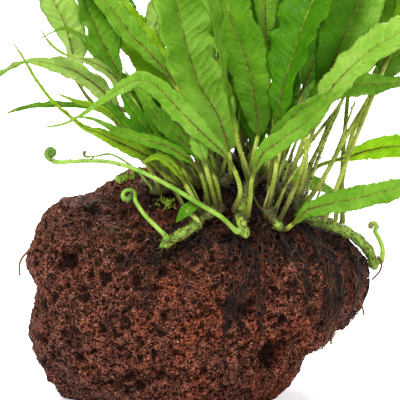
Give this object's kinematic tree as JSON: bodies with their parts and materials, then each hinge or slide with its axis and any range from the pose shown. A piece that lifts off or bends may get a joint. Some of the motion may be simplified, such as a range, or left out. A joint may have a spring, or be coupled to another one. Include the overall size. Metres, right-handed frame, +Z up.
{
  "type": "java fern on stone",
  "caption": "Aquarium fern with long pointed green fronds on creeping rhizomes, rooted over the top of a rough red lava stone.",
  "frame": {"origin": "on the flat cut under the stone, below the middle of the stone", "axes": "+Z up, -Y towards the side with the coiled young fronds and the root tresses, +X to the right seen from there"},
  "size_m": [0.1809, 0.1575, 0.1891],
  "materials": {
    "stone": "rough, pitted",
    "rhizome": "satin, scaly",
    "root": "matte, fibrous",
    "frond": "satin, translucent",
    "young_frond": "satin"
  },
  "bodies": {
    "root": {"lava_stone": "stone", "rhizome_middle": "rhizome", "rhizome_left": "rhizome", "rhizome_upper_left": "rhizome", "rhizome_stump": "rhizome", "rhizome_right": "rhizome", "roots_right": "root", "roots_rim": "root", "roots_inner": "root", "roots_middle": "root", "roots_front": "root", "frond_left_thread": "frond", "frond_left_wavy": "frond", "frond_left_sweep": "frond", "frond_left_arch": "frond", "frond_left_tall": "frond", "frond_left_hook": "frond", "frond_left_slim": "frond", "frond_left_dark": "frond", "frond_left_back": "frond", "frond_slant_front": "frond", "frond_slant_behind": "frond", "frond_pale": "frond", "frond_tall_left": "frond", "frond_edge_on": "frond", "frond_big_arch": "frond", "frond_low_dark": "frond", "frond_under_arch": "frond", "frond_low_pale": "frond", "frond_tall_middle": "frond", "frond_middle_behind": "frond", "frond_long_stalk": "frond", "frond_tall_right": "frond", "frond_middle_back": "frond", "frond_front_slant": "frond", "frond_slant_small": "frond", "frond_thicket_left": "frond", "frond_thicket_middle": "frond", "frond_thicket_right": "frond", "frond_right_dark": "frond", "frond_right_bright": "frond", "frond_right_level": "frond", "frond_right_outer": "frond", "frond_right_twin": "frond", "frond_right_high": "frond", "frond_right_upright": "frond", "frond_right_mid": "frond", "frond_right_low": "frond", "frond_back_left_tall": "frond", "frond_back_middle": "frond", "frond_back_right_tall": "frond", "frond_back_left_arch": "frond", "frond_back_arch": "frond", "frond_back_right_arch": "frond", "frond_back_right_low": "frond", "frond_back_left_low": "frond", "fiddlehead_long": "young_frond", "fiddlehead_thin": "young_frond", "fiddlehead_left": "young_frond", "fiddlehead_right": "young_frond"}
  },
  "joints": []
}
